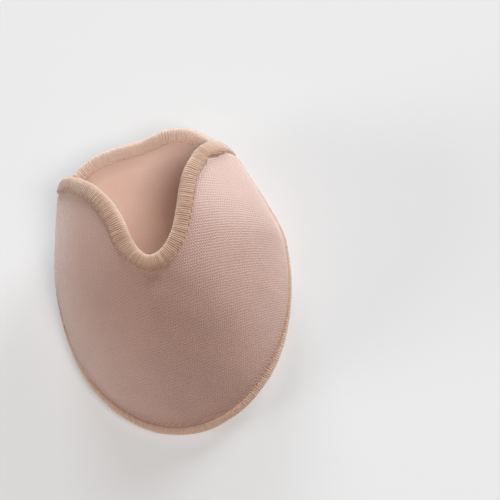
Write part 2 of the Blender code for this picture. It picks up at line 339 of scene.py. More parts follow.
def dome_rise(y):
    """Rise of the dome over the seam line, in the middle of the pad."""
    climb = 1.0 - (1.0 - np.minimum(y / DOME_PEAK_AT, 1.0)) ** 2
    past = np.maximum(y - DOME_PEAK_AT, 0.0) / (CORNER_AT - DOME_PEAK_AT)
    return DOME_RISE * climb - (DOME_RISE - MOUTH_RISE) * past ** 2


def dome_arc(y):
    """Half of the dome's arc in radians: shallow at the toe, nearly a half circle at the mouth."""
    to_widest = (ARC_AT_WIDEST - ARC_AT_TOE) * smoothstep(y / WIDEST_AT)
    to_corners = (ARC_AT_CORNERS - ARC_AT_WIDEST) * smoothstep((y - WIDEST_AT) / (CORNER_AT - WIDEST_AT))
    return np.radians(ARC_AT_TOE + to_widest + to_corners)


def droop(y):
    """Angle in radians by which the flange hangs: a little at the toe, most along the sides, then none."""
    from_toe = smoothstep(y / WIDEST_AT)
    to_corners = smoothstep((y - CORNER_AT + MOUTH_BAND + DROOP_FADE) / DROOP_FADE)
    return np.radians(TOE_DROOP + (FLANGE_DROOP - TOE_DROOP) * from_toe) * (1.0 - to_corners)


def top_point(x, y):
    """Outside of the top panel over a point of the plan."""
    width = half_width(y)
    arc = dome_arc(y)
    angle = arc * x / width
    across = (width + PLY * np.sin(droop(y))) * np.sin(angle) / np.sin(arc)
    rise = dome_rise(y) * (np.cos(angle) - np.cos(arc)) / (1.0 - np.cos(arc))
    return np.stack([across + sideways(y), y, seam_height(y) + PLY * np.cos(droop(y)) + rise], axis=-1)


def sole_point(x, y):
    """Outside of the sole panel under a point of the plan: flat in the middle and curled up to the seam."""
    width = half_width(y)
    inside = (width ** 2 - x ** 2) / HALF_WIDTH ** 2
    curl = np.maximum(1.0 - inside / SOLE_FLAT_FROM, 0.0) ** 2
    lift = MOUTH_LIFT * (np.maximum(y - LIFT_FROM, 0.0) / (CORNER_AT - LIFT_FROM)) ** 2
    across = x * (1.0 - PLY * np.sin(droop(y)) / width)
    seam = seam_height(y) - PLY * np.cos(droop(y))
    return np.stack([across + sideways(y), y, lift + (seam - lift) * curl], axis=-1)


print("height of the dome:", round(float(top_point(0.0, DOME_PEAK_AT)[2]), 1), "mm")


# %% Points and directions on a form
PROBE_INSIDE = 0.1
PROBE_X = 0.3
PROBE_Y = 0.05


def lay(form, plan):
    """Points of the plan on a form."""
    return form(plan[..., 0], plan[..., 1])


def slopes(form, plan):
    """Slopes of a form along X and along Y, measured a little inside each point."""
    x, y = np.moveaxis(plan + unit(np.array([0.0, WIDEST_AT]) - plan + TINY) * PROBE_INSIDE, -1, 0)
    along_x = (form(x + PROBE_X, y) - form(x - PROBE_X, y)) / (2 * PROBE_X)
    along_y = (form(x, y + PROBE_Y) - form(x, y - PROBE_Y)) / (2 * PROBE_Y)
    return along_x, along_y


def outward(form, plan):
    """Unit vectors that point away from the hollow."""
    along_x, along_y = slopes(form, plan)
    return unit(np.cross(along_x, along_y)) * (1.0 if form is top_point else -1.0)


at_notch = outward(top_point, np.array([0.0, NOTCH_AT]))
print("the dome faces, at the notch:", [round(float(part), 2) for part in at_notch])

# %% [markdown]
# ## Lines of the pattern
# A pattern is its lines: the seam line round the toe, and the mouth edge of each panel. The mouth edges are
# short tables of points. A smooth curve through them is then read at even steps of its real length on the
# form, so that a column of cloth or a stitch is as wide on a steep part as on a flat one.

# %% The mouth edges and the seam line
TOP_RIM = (
    # across as a share of the half width, up as a share of the way from the notch to the corners
    (-1.00, 1.00), (-0.72, 0.92), (-0.42, 0.79), (-0.25, 0.61), (-0.15, 0.38), (-0.10, 0.16),
    (-0.02, 0.02), (0.07, 0.02), (0.16, 0.13), (0.22, 0.29), (0.28, 0.48), (0.35, 0.66), (0.50, 0.84),
    (0.72, 0.94), (1.00, 1.00),
)
SOLE_RIM = (
    # across as a share of the half width, up as a share of the tongue
    (-1.00, 0.00), (-0.92, 0.25), (-0.83, 0.46), (-0.70, 0.63), (-0.48, 0.75), (-0.22, 0.80), (0.02, 0.83),
    (0.20, 0.90), (0.40, 0.96), (0.60, 0.92), (0.75, 0.76), (0.86, 0.50), (0.94, 0.22), (1.00, 0.00),
)
RIM_STEPS = 40
SIDE_POINTS = 160
TOE_POINTS = 321


def smooth_rows(rows, steps, closed=False):
    """Rows on a smooth curve through the given rows, which may be points or whole stations."""
    rows = np.asarray(rows, dtype=float)
    if closed:
        padded = np.concatenate([rows[-1:], rows, rows[:2]])
    else:
        padded = np.concatenate([2 * rows[:1] - rows[1:2], rows, 2 * rows[-1:] - rows[-2:-1]])
    before, start, end, after = padded[:-3], padded[1:-2], padded[2:-1], padded[3:]
    bend = 2 * before - 5 * start + 4 * end - after
    turn = -before + 3 * start - 3 * end + after
    shares = np.linspace(0.0, 1.0, steps, endpoint=False)
    made = [0.5 * (2 * start + (end - before) * t + bend * t ** 2 + turn * t ** 3) for t in shares]
    curve = np.stack(made, axis=1).reshape(-1, *rows.shape[1:])
    return curve if closed else np.concatenate([curve, rows[-1:]])


def rim_plan(table, start, reach):
    """A mouth edge in plan, from the left corner to the right one, from its table."""
    across, along = smooth_rows(table, RIM_STEPS).T
    y = start + reach * along
    return np.stack([across * half_width(y), y], axis=-1)


def seam_plan():
    """The seam line in plan, from the left corner round the toe to the right corner."""
    side_y = np.linspace(CORNER_AT, WIDEST_AT, SIDE_POINTS, endpoint=False)
    left = np.stack([-half_width(side_y), side_y], axis=-1)
    turn = np.linspace(-math.pi / 2, math.pi / 2, TOE_POINTS)
    toe = np.stack([HALF_WIDTH * np.sin(turn), WIDEST_AT * (1.0 - np.cos(turn))], axis=-1)
    return np.vstack([left, toe, (left * (-1.0, 1.0))[::-1]])


SEAM_PLAN = seam_plan()
TOP_EDGE = rim_plan(TOP_RIM, NOTCH_AT, CORNER_AT - NOTCH_AT)
SOLE_EDGE = rim_plan(SOLE_RIM, CORNER_AT, TONGUE)


# %% Even steps along a line
def real_length(form, plan):
    """Length along a plan line as it lies on a form, from its start to each point."""
    return np.concatenate([[0.0], np.cumsum(length_of(np.diff(lay(form, plan), axis=0)))])


def even_steps(form, plan, inset, count):
    """Points of a plan line at even steps of its real length, and their distance from the nearer end."""
    length = real_length(form, plan)
    places = np.linspace(inset, length[-1] - inset, count)
    points = np.stack([np.interp(places, length, plan[:, axis]) for axis in (0, 1)], axis=-1)
    return points, np.minimum(places, length[-1] - places)


def step_inward(form, plan, distance):
    """Points at a real distance inside a mouth edge, square to the edge."""
    along_x, along_y = slopes(form, plan)
    normal = unit(np.cross(along_x, along_y))
    inward = np.cross(unit(np.gradient(lay(form, plan), axis=0)), normal)
    area = np.sum(np.cross(along_x, along_y) * normal, axis=-1)
    step_x = np.sum(np.cross(inward, along_y) * normal, axis=-1) / area
    step_y = np.sum(np.cross(along_x, inward) * normal, axis=-1) / area
    return plan + distance * np.stack([step_x, step_y], axis=-1)


print("length of the seam:", round(real_length(top_point, SEAM_PLAN)[-1]), "mm")
print("length of the notched edge:", round(real_length(top_point, TOP_EDGE)[-1]), "mm")

# %% [markdown]
# ## The knit, as a shared node group
# Close up, the cloth is a fine knit: rows of small loops, about one row to a millimetre, each row shifted
# by half a loop from the last. An image texture would do, but a group of arithmetic nodes stays sharp at
# any size. The group takes cloth coordinates in millimetres, which the panels carry as a UV map, and gives
# the height of the loops and a mask of the gaps between them, which the material uses for painted shade.
# Only these leave the group. The shader itself stays in the material.

# %% Build the knit group
KNIT_SIZES = {"Row": 0.9, "Loop": 0.78, "Unevenness": 0.9}
WANDER_SCALE = 0.3
FUZZ_SCALE = 2.6
FUZZ = 0.9
GAPS_BETWEEN = (0.05, 0.6)
ROW_WAVE = -0.2
LEANING_WAVE = -0.15


def speckle(tree, scale, detail, **where):
    """The value of a noise texture."""
    return put(tree, "ShaderNodeTexNoise", {"Scale": scale, "Detail": detail, **where}, "Fac")


def knit_group():
    """Height and gaps of staggered rows of knitted loops, from three crossing waves."""
    sizes = [(title, "Float", value) for title, value in KNIT_SIZES.items()]
    outputs = [("Height", "Float"), ("Gaps", "Float")]
    tree, given, out = open_tree("knit_loops", "ShaderNodeTree", [("Cloth", "Vector", None)] + sizes, outputs)
    cloth = given["Cloth"]
    wander = put(tree, "ShaderNodeTexNoise", {"Vector": cloth, "Scale": WANDER_SCALE, "Detail": 2.0}, "Color")
    offset = scaled(vector_calc("SUBTRACT", wander, (0.5, 0.5, 0.5)), given["Unevenness"])
    moved = add(tree, "ShaderNodeSeparateXYZ", {0: vector_calc("ADD", cloth, offset)})
    row = calc("DIVIDE", moved.outputs["Y"], given["Row"])
    loop = calc("DIVIDE", moved.outputs["X"], given["Loop"])
    leaning_left = calc("MULTIPLY_ADD", row, -0.5, loop)
    leaning_right = calc("MULTIPLY_ADD", row, 0.5, loop)
    height = 0.5
    for phase, share in ((row, ROW_WAVE), (leaning_left, LEANING_WAVE), (leaning_right, LEANING_WAVE)):
        wave = calc("COSINE", calc("MULTIPLY", phase, 2 * math.pi))
        height = calc("MULTIPLY_ADD", wave, share, height)
    fuzz = speckle(tree, FUZZ_SCALE, 3.0, Vector=cloth)
    fuzzy = calc("MULTIPLY_ADD", calc("SUBTRACT", fuzz, 0.5), FUZZ, height)
    fill(out, {"Height": fuzzy, "Gaps": fade(fuzzy, *GAPS_BETWEEN, 1.0, 0.0)})
    return tree


KNIT = knit_group()
print("knit group:", len(KNIT.nodes), "nodes")

# %% [markdown]
# ## Cloth and thread materials
# The knit cloth is a dusty rose that looks paler where light grazes its fuzz, so it gets a sheen. Its
# colour wanders a little over the pad, carries painted shade in the gaps between loops, and is a little
# darker and duller within a few millimetres of the stitches. Right at the stitches lies a thin line of
# painted shade, for the crease where the thread pulls the cloth in. The face that lies against the foot is
# painted paler as painted light, for the light that shines through the cloth and bounces inside the pouch,
# and its knit is shallower. The threads are spun, slightly yellower, and painted paler inside the pad as
# painted light. No two lie quite the same, so each carries its own small change of tone.

# %% Make the cloth material
CLOTH_COLOUR = (0.49, 0.311, 0.257)
CLOTH_INNER_PAINTED_LIGHT = (0.885, 0.67, 0.575)
CLOTH_PAINTED_SHADE = (0.27, 0.145, 0.105)
CLOTH_NEAR_STITCHES = (0.44, 0.29, 0.24)
KNIT_HEIGHT = 0.00014
CLOTH_ROUGHNESS = (0.66, 0.54)
GAP_PAINTED_SHADE = 0.52
INNER_KNIT = 0.2
TONE_SCALE = 0.06
TONE_FROM = (0.3, 0.7)
TONE_TO = (0.95, 1.04)
NEAR_STITCHES_SHARE = 0.5
NEAR_STITCHES_REACH = 5.0
STITCH_SHADE_SHARE = 0.75
STITCH_SHADE_FROM = 0.1
STITCH_SHADE_TO = 0.5
UV_SPAN = 100.0


def blend_colours(share, first, second):
    """A colour between two colours, each given as numbers or as a socket."""
    pair = [one if isinstance(one, bpy.types.NodeSocket) else (*one, 1.0) for one in (first, second)]
    return put(share.id_data, "ShaderNodeMix", {0: share, 6: pair[0], 7: pair[1]}, 2, data_type="RGBA")


def carried(tree, name):
    """A value that the mesh carries."""
    return put(tree, "ShaderNodeAttribute", {}, "Fac", attribute_name=name, attribute_type="GEOMETRY")


def cloth_material():
    """Dusty rose knit with painted shade and a soft sheen, smoother and painted paler on the face against the
    foot.
    """
    material, shader = plain_material("rose_knit")
    tree = shader.id_data
    cloth = scaled(put(tree, "ShaderNodeUVMap", {}, uv_map="cloth"), UV_SPAN)
    knit = add(tree, "ShaderNodeGroup", {"Cloth": cloth}, node_tree=KNIT).outputs
    beside = carried(tree, "from_stitches")
    inner = carried(tree, "inner_face")
    knit_share = fade(inner, 0.0, 1.0, 1.0, INNER_KNIT)
    tone = fade(speckle(tree, TONE_SCALE, 3.0, Vector=cloth), *TONE_FROM, *TONE_TO)
    # Painted light: the face towards the foot is painted paler, for light that shines through the cloth into
    # the pouch.
    face = blend_colours(inner, CLOTH_COLOUR, CLOTH_INNER_PAINTED_LIGHT)
    # Within a few millimetres of the stitches the colour turns a little darker and duller.
    near_stitches = blend_colours(fade(beside, 0.0, NEAR_STITCHES_REACH, NEAR_STITCHES_SHARE, 0.0), face, CLOTH_NEAR_STITCHES)
    # Painted shade: the gaps between the loops and a thin line at the stitches are darkened in the colour,
    # for the shade that falls there.
    gaps = calc("MULTIPLY", calc("MULTIPLY", knit["Gaps"], GAP_PAINTED_SHADE), knit_share)
    stitch_shade = fade(beside, STITCH_SHADE_FROM, STITCH_SHADE_TO, STITCH_SHADE_SHARE, 0.0)
    colour = blend_colours(calc("MAXIMUM", gaps, stitch_shade), near_stitches, CLOTH_PAINTED_SHADE)
    height = calc("MULTIPLY", knit["Height"], knit_share)
    fill(shader, {
        "Base Color": scaled(colour, tone),
        "Roughness": fade(knit["Height"], 0.0, 1.0, *CLOTH_ROUGHNESS),
        "Normal": put(tree, "ShaderNodeBump", {"Height": height, "Distance": KNIT_HEIGHT, "Strength": 0.8}),
        "Specular IOR Level": 0.8,
        "Sheen Weight": 0.5,
        "Sheen Roughness": 0.45,
        "Sheen Tint": WHITE,
    })
    return material


CLOTH = cloth_material()
print("material:", CLOTH.name)

# %% Make the thread materials
THREAD_INNER_PAINTED_LIGHT = (0.71, 0.52, 0.425)
THREAD_ROUGHNESS = (0.6, 0.75)
FIBRE_SCALE = 6000.0
FIBRE_HEIGHT = 0.00004
PATCH_SCALE = 160.0
FIBRE_TONE = 0.4
PATCH_TONE = 0.6
OWN_TONE = 0.2


def thread_material(name, light, dark):
    """Soft spun thread: a fine fuzz, a tone of its own for each thread, and painted light on its side towards
    the foot.
    """
    material, shader = plain_material(name)
    tree = shader.id_data
    place = put(tree, "ShaderNodeTexCoord", {}, "Object")
    fibres = speckle(tree, FIBRE_SCALE, 2.0, Vector=place)
    patches = speckle(tree, PATCH_SCALE, 2.0, Vector=place)
    share = calc("MULTIPLY", fibres, FIBRE_TONE)
    share = calc("MULTIPLY_ADD", carried(tree, "tone"), OWN_TONE, share)
    share = calc("MULTIPLY_ADD", patches, PATCH_TONE, share)
    colour = blend_colours(share, dark, light)
    fill(shader, {
        # Painted light: the side of each thread towards the foot is painted paler, for the light inside the
        # pouch.
        "Base Color": blend_colours(carried(tree, "inside"), colour, THREAD_INNER_PAINTED_LIGHT),
        "Roughness": fade(fibres, 0.0, 1.0, *THREAD_ROUGHNESS),
        "Normal": put(tree, "ShaderNodeBump", {"Height": fibres, "Distance": FIBRE_HEIGHT, "Strength": 0.6}),
        "Specular IOR Level": 0.4,
        "Sheen Weight": 0.45,
        "Sheen Roughness": 0.5,
    })
    return material


# The side seam's thread is paler than the mouth's, partly as a painted highlight along the flange.
SEAM_THREAD = thread_material("seam_thread", (0.65, 0.455, 0.345), (0.52, 0.34, 0.25))
MOUTH_THREAD = thread_material("mouth_thread", (0.48, 0.305, 0.215), (0.36, 0.215, 0.147))
# The bed is thread in colour, painted a little deeper than the seam's thread as painted shade.
BED_THREAD_AND_SHADE = thread_material("thread_bed", (0.50, 0.33, 0.245), (0.42, 0.27, 0.19))
print("materials:", SEAM_THREAD.name, MOUTH_THREAD.name, BED_THREAD_AND_SHADE.name)

# %% [markdown]
# ## Padded walls
# Each panel is a wall of foam between two faces of knit. It could be one sheet with a Solidify modifier,
# but the wall isn't even: it is full in the middle and squeezed thin where the threads grip it. So each
# wall is drawn as closed loops of points, one loop to each column of cloth: out of the seam, over the
# outside to the mouth, and back along the inside. The columns are then joined into one closed body, with
# the cloth's own coordinates as its UV map.

# %% Draw a wall
COLUMNS = 170
ROW_COUNT = 30
CLOSER_AT_EDGES = 0.35
EVEN = np.linspace(0.0, 1.0, ROW_COUNT)
ROWS = CLOSER_AT_EDGES * (0.5 - 0.5 * np.cos(math.pi * EVEN)) + (1.0 - CLOSER_AT_EDGES) * EVEN
SQUARE_TO_SEAM = 0.45
GRAIN = math.radians(9.0)
PATH_STEPS = 24
FLOOR_CLEAR = 0.02
FOLD_LEAST = 0.62
TUCK_LEAST = 0.12
TUCK_FROM = 3.2
TUCK_FADE = 3.0
INNER_LIP = 0.2
MOUTH_SHADE_FROM = 0.33
BAND_ON_WALL = MOUTH_BAND - THREAD - GAP


def seam_frames(plan):
    """Places of the seam line with its outward and upward directions."""
    x, y = plan.T
    places = np.column_stack([x + sideways(y), y, seam_height(y)])
    run = unit(np.gradient(places, axis=0))
    flat = unit(np.cross(run, (0.0, 0.0, 1.0)))
    upright = np.cross(flat, run)
    angle = droop(y)[:, None]
    out = flat * np.cos(angle) - upright * np.sin(angle)
    return places, out, flat * np.sin(angle) + upright * np.cos(angle)


def flange_reach(distance):
    """How far the flange stands out, narrowing where it meets the mouth edge."""
    return FLANGE_END + (FLANGE - FLANGE_END) * smoothstep((distance - MOUTH_BAND) / FLANGE_FADE)


def flange_lip(plan, distance):
    """How far from the seam line the threads of the flange begin."""
    return (FLANGE_LIP + FOLDED_LIP * np.sin(droop(plan[:, 1]))) * flange_reach(distance) / FLANGE


def cloth_coordinates(form, plan):
    """Where each point lies on the flat cloth, in millimetres, measured along lines from the dome's peak."""
    shares = np.linspace(0.0, 1.0, PATH_STEPS)[:, None, None]
    path = form(plan[..., 0] * shares, DOME_PEAK_AT + (plan[..., 1] - DOME_PEAK_AT) * shares)
    reach = np.sum(length_of(np.diff(path, axis=0)), axis=0)
    away = path[-1, ..., :2] - path[0, ..., :2]
    flat = away / (length_of(away)[..., None] + TINY) * reach[..., None]
    with_grain = np.array([[math.cos(GRAIN), -math.sin(GRAIN)], [math.sin(GRAIN), math.cos(GRAIN)]])
    return flat @ with_grain


def wall_plan(form, rim):
    """A wall's plan, as columns of points from seam to mouth, and their distance from the nearer corner."""
    seam, distance = even_steps(form, SEAM_PLAN, PANEL_CORNER_INSET, COLUMNS + 1)
    rim, _ = even_steps(form, step_inward(form, rim, THREAD + GAP), PANEL_CORNER_INSET, COLUMNS + 1)
    run = unit(np.gradient(seam, axis=0))
    inward = np.stack([-run[:, 1], run[:, 0]], axis=-1)
    lead = SQUARE_TO_SEAM * length_of(rim - seam)[:, None]
    bend = (seam + inward * lead)[:, None]
    share = ROWS[None, :, None]
    plan = (1 - share) ** 2 * seam[:, None] + 2 * share * (1 - share) * bend + share ** 2 * rim[:, None]
    return plan, distance


def wall_loops(form, rim):
    """Loops of points round a wall, their cloth coordinates, and the values that its material reads."""
    plan, distance = wall_plan(form, rim)
    seam = plan[:, 0]
    outside = lay(form, plan)
    normal = outward(form, plan)
    steps = length_of(np.diff(outside, axis=1))
    from_seam = np.concatenate([np.zeros((len(steps), 1)), np.cumsum(steps, axis=1)], axis=1)
    from_rim = from_seam[:, -1:] - from_seam
    thickness = SQUEEZED_WALL + (WALL - SQUEEZED_WALL) * smoothstep(from_seam / PAD_FADE)
    outside = outside + normal * shaping(form, plan, from_seam, from_rim)[..., None]
    inside = outside - normal * thickness[..., None]
    _, out, rise = seam_frames(seam)
    rise = -rise if form is sole_point else rise
    fold = np.maximum(1.0 + np.sum(normal[:, 0] * rise, axis=1, keepdims=True), FOLD_LEAST)
    inside[:, 0] = outside[:, 0] - (normal[:, 0] + rise) * SQUEEZED_WALL / fold
    most = flange_reach(distance) - THREAD - GAP - TUCK_LEAST
    tuck = (most * smoothstep((distance - MOUTH_BAND - TUCK_FROM) / TUCK_FADE) + TUCK_LEAST)[:, None]
    nose = (outside[:, 0] + out * tuck)[:, None]
    loops = np.concatenate([nose, outside, inside[:, ::-1], nose - rise[:, None] * SQUEEZED_WALL], axis=1)
    if form is sole_point:
        loops[..., 2] = np.maximum(loops[..., 2], FLOOR_CLEAR)
    cloth = cloth_coordinates(form, plan)
    cloth = np.concatenate([cloth[:, :1], cloth, cloth[:, ::-1], cloth[:, :1]], axis=1)
    lip = flange_lip(seam, distance)[:, None]
    outer_beside, inner_beside = (
        np.minimum(from_seam + lip, np.maximum(from_rim - band, 0.0) + MOUTH_SHADE_FROM)
        for band in (BAND_ON_WALL, BAND_ON_WALL - INNER_LIP * MOUTH_BAND)
    )
    beside = np.concatenate([lip - tuck, outer_beside, inner_beside[:, ::-1], lip - tuck], axis=1)
    inner = np.zeros_like(beside)
    inner[:, ROW_COUNT + 1:-1] = 1.0
    return loops, cloth, {"from_stitches": beside, "inner_face": inner}


# %% [markdown]
# ### Where thread and use have shaped the cloth
# A machine-sewn edge draws the cloth up, so fine ripples run from it and fade within a few millimetres. The
# notch is the tightest bend of the whole edge, and a few creases fan out below it. From the middle of the
# pad to the mouth the wall bulges out beside the side seam, and the rest has shallow dents from being worn.
# All four are small heights along the wall's own direction. They could be sculpted by hand, but as
# functions of the distance from an edge they stay where the sewing puts them.

# %% Ripples, dents, bulge and creases
RIPPLE = 0.14
RIPPLE_TURN = 2.1
RIPPLE_STRAY = 2.6
STRAY_SIZE = 6.0
PATCH_LEAST = 0.6
PATCH_MORE = 0.8
PATCH_SIZE = 11.0
SEAM_RIPPLE_FADE = 3.0
MOUTH_RIPPLE_FADE = 2.6
SEAM_GRIP = 1.5
MOUTH_GRIP_FROM = 3.0
MOUTH_GRIP = 2.0
DENT = 0.45
DENT_SIZE = 17.0
DENT_EDGE = 12.0
BULGE = 1.3
BULGE_FROM = 42.0
BULGE_FADE_IN = 20.0
BULGE_START = 2.0
BULGE_END = 9.0
CREASE = 1.6
CREASE_SIDEWAYS = 1.0
CREASE_RUN_IN = 2.0
CREASE_FLARE = 0.12
SEED_STEP = 7.3
CREASES = (
    # direction from the notch in degrees, share of the depth, length, width
    (-84.0, 1.0, 5.5, 1.7),
    (-128.0, 0.4, 6.0, 1.0),
    (-50.0, 0.4, 6.0, 0.9),
)


def slow_noise(points, size, seed):
    """Smooth noise between about -1 and 1, with bumps of the given size."""
    flat = points.reshape(-1, points.shape[-1]) / size
    columns = np.zeros((len(flat), 3))
    columns[:, :flat.shape[1]] = flat
    columns[:, 2] += seed * SEED_STEP
    return np.array([noise.noise(column) for column in columns]).reshape(points.shape[:-1])


def creases(plan):
    """Depth of the creases that fan out below the notch."""
    from_notch = plan - np.array([CREASE_SIDEWAYS, NOTCH_AT - MOUTH_BAND])
    depth = 0.0
    for degrees, share, length, width in CREASES:
        turn = math.radians(degrees)
        ahead = from_notch @ np.array([math.cos(turn), math.sin(turn)])
        aside = from_notch @ np.array([-math.sin(turn), math.cos(turn)])
        beyond = np.maximum(ahead, 0.0)
        start = smoothstep((ahead + CREASE_RUN_IN / 2) / CREASE_RUN_IN)
        profile = np.exp(-(aside / (width + CREASE_FLARE * beyond)) ** 2)
        depth = depth + CREASE * share * start * np.exp(-beyond / length) * profile
    return depth


def shaping(form, plan, from_seam, from_rim):
    """Height of the ripples, dents, bulge and creases at each point of a wall."""
    column = np.arange(len(plan))[:, None]
    drawn = np.exp(-from_seam / SEAM_RIPPLE_FADE)
    drawn = drawn + np.exp(-np.maximum(from_rim - BAND_ON_WALL, 0.0) / MOUTH_RIPPLE_FADE)
    wave = np.sin(column * RIPPLE_TURN + RIPPLE_STRAY * slow_noise(plan, STRAY_SIZE, 1))
    wave = wave * (PATCH_LEAST + PATCH_MORE * slow_noise(plan, PATCH_SIZE, 2))
    gripped = smoothstep(from_seam / SEAM_GRIP) * smoothstep((from_rim - MOUTH_GRIP_FROM) / MOUTH_GRIP)
    free = smoothstep(from_seam / DENT_EDGE) * smoothstep(from_rim / DENT_EDGE)
    over_seam = (1.0 - np.exp(-from_seam / BULGE_START)) * np.exp(-(from_seam / BULGE_END) ** 2)
    height = RIPPLE * wave * drawn * gripped + DENT * slow_noise(plan, DENT_SIZE, 3) * free
    height = height + BULGE * over_seam * smoothstep((plan[..., 1] - BULGE_FROM) / BULGE_FADE_IN)
    if form is top_point:
        height = height - creases(plan)
    return height * gripped


# %% [markdown]
# ### Join the loops into a body
# The loops become one mesh: quads between neighbouring loops, and an end cap at each corner of the mouth.
# The cloth coordinates go into a UV map, and the nearness to a seam into an attribute that the material
# reads.

# %% Mesh builder
def cap_faces(first, size):
    """Faces that close the end loop of a wall or bed, paired across it."""
    half = size // 2
    faces = [(first + k, first + k + 1, first + size - 2 - k, first + size - 1 - k) for k in range(half - 1)]
    return faces + [(first + half - 1, first + half, first + half + 1)] * (size % 2)


def join_loops(name, loops, closed, material, cloth=None, values=None):
    """One closed mesh object over a row of loops of points in millimetres."""
    count, size = loops.shape[:2]
    points = ((loops + SHIFT) * MM).reshape(-1, 3)
    quads = []
    for i in range(count if closed else count - 1):
        here, there = i * size, (i + 1) % count * size
        quads += [(here + (k - 1) % size, here + k, there + k, there + (k - 1) % size) for k in range(size)]
    if not closed:
        quads += cap_faces(0, size) + [face[::-1] for face in cap_faces((count - 1) * size, size)]
    mesh = bpy.data.meshes.new(name)
    mesh.from_pydata(points.tolist(), [], quads)
    if cloth is not None:
        corners = np.zeros(len(mesh.loops), dtype=np.int32)
        mesh.loops.foreach_get("vertex_index", corners)
        flat = cloth.reshape(-1, 2) / UV_SPAN
        mesh.uv_layers.new(name="cloth").data.foreach_set("uv", flat[corners].ravel())
        for title, numbers in values.items():
            mesh.attributes.new(title, "FLOAT", "POINT").data.foreach_set("value", numbers.ravel())
    work = bmesh.new()
    work.from_mesh(mesh)
    bmesh.ops.recalc_face_normals(work, faces=work.faces)
    open_edges = sum(1 for edge in work.edges if len(edge.link_faces) != 2)
    volume = round(work.calc_volume(signed=True) / MM ** 3)
    print(name, ":", len(work.faces), "faces,", open_edges, "open edges,", volume, "mm3")
    work.to_mesh(mesh)
    work.free()
    mesh.shade_smooth()
    mesh.materials.append(material)
    return new_object(name, mesh)


def make_wall(name, form, rim):
    """A padded wall as one closed body."""
    loops, cloth, values = wall_loops(form, rim)
    return join_loops(name, loops, False, CLOTH, cloth, values)


top_wall = make_wall("top_panel_cloth", top_point, TOP_EDGE)
sole_wall = make_wall("sole_panel_cloth", sole_point, SOLE_EDGE)

# %% [markdown]
# ### Let the walls settle
# Foam pushes a wall's two faces apart, and the threads hold its edges thin. Blender's cloth simulation
# settles this without a hand-drawn profile: pressure inside the closed wall, the sewn edges pinned, no
# gravity and 20 frames. The walls are drawn near their rest, so half of their points move by no more than
# about a tenth of a millimetre. How far a point may move is capped, so that the wall keeps its place, and
# the sole can't push through the floor.

# %% Run the cloth
SWELL_CAP = 1.8
SWELL_FRAMES = 20
TOP_PRESSURE = 9.0
SOLE_PRESSURE = 5.0
BENDING = 0.2
NO_MOVE = 1e-12


def swell(thing, pressure):
    """Run the cloth on a wall and keep its result, with every move capped."""
    mesh = thing.data
    rest = np.zeros(len(mesh.vertices) * 3)
    mesh.vertices.foreach_get("co", rest)
    rest = rest.reshape(-1, 3)
    size = ROW_COUNT * 2 + 2
    row = np.arange(len(rest)) % size
    row = np.minimum(row, size - 1 - row)
    held = thing.vertex_groups.new(name="held")
    sewn = np.nonzero((row <= 1) | (row >= ROW_COUNT - 2))[0].tolist()
    held.add(sewn + list(range(size)) + list(range(len(rest) - size, len(rest))), 1.0, "REPLACE")
    cloth = thing.modifiers.new("swell", "CLOTH")
    cloth.settings.vertex_group_mass = "held"
    cloth.settings.use_pressure = True
    cloth.settings.uniform_pressure_force = pressure
    cloth.settings.effector_weights.gravity = 0.0
    cloth.settings.bending_stiffness = BENDING
    cloth.collision_settings.use_collision = False
    cloth.collision_settings.use_self_collision = False
    for number in range(1, SWELL_FRAMES + 1):
        bpy.context.scene.frame_set(number)
    result = np.zeros(len(rest) * 3)
    thing.evaluated_get(bpy.context.evaluated_depsgraph_get()).data.vertices.foreach_get("co", result)
    move = result.reshape(-1, 3) - rest
    length = length_of(move)[:, None] + NO_MOVE
    moved = rest + move * np.minimum(length, SWELL_CAP * MM) / length
    thing.modifiers.remove(cloth)
    thing.vertex_groups.remove(held)
    bpy.context.scene.frame_set(1)
    moved[:, 2] = np.maximum(moved[:, 2], FLOOR_CLEAR * MM)
    mesh.vertices.foreach_set("co", moved.ravel())
    mesh.update()
    print(thing.name, "moved by", round(float(np.median(length)) / MM, 2), "mm in the middle of the range")


swell(top_wall, TOP_PRESSURE)
swell(sole_wall, SOLE_PRESSURE)
for wall in (top_wall, sole_wall):
    subdivision = wall.modifiers.new("soften", "SUBSURF")
    subdivision.levels = 1
    subdivision.render_levels = 1
    subdivision.boundary_smooth = "ALL"

# %% [markdown]
# ## Stations along the sewn edges
# An overlock machine trims an edge and wraps it in thread in one pass. Everything it lays down follows the
# same stations along the edge: a point at the inner lip of the wrapping, the way from there to the free
# edge, and the direction out of the cloth at both. The hand of the sewer shows too, so the line wanders by
# up to a quarter millimetre.

# %% Stations of both edges
SEAM_STATIONS = 481
PANEL_STATIONS = 62
STEPS_BETWEEN = 5
SEAM_THREAD_ROOM = 0.35
SEAM_THREAD_SHORT = 0.3
SEAM_WANDER = 0.18
MOUTH_WANDER = 0.25
IN_OUT_SIZE = 5.0
UP_DOWN_SIZE = 8.0


def wander(stations, amount):
    """Let the free edge waver a little, in and out and up and down."""
    lip, reach, lip_rise, edge_rise = (stations[:, k] for k in range(4))
    middle = lip + reach / 2
    in_out = slow_noise(middle, IN_OUT_SIZE, 5)[:, None] * amount
    up_down = slow_noise(middle, UP_DOWN_SIZE, 6)[:, None] * amount
    moved = reach + unit(reach) * in_out + unit(edge_rise) * up_down
    return np.stack([lip, moved, lip_rise, edge_rise], axis=1)


def seam_stations():
    """Stations of the side seam, from below one mouth corner round the toe to the other."""
    seam, distance = even_steps(sole_point, SEAM_PLAN, MOUTH_BAND - GAP, SEAM_STATIONS)
    places, out, rise = seam_frames(seam)
    lip = flange_lip(seam, distance)[:, None]
    rise = rise * (PLY + SEAM_THREAD_ROOM)
    reach = flange_reach(distance)[:, None] - lip - SEAM_THREAD_SHORT
    return wander(np.stack([places + out * lip, out * reach, rise, rise], axis=1), SEAM_WANDER)


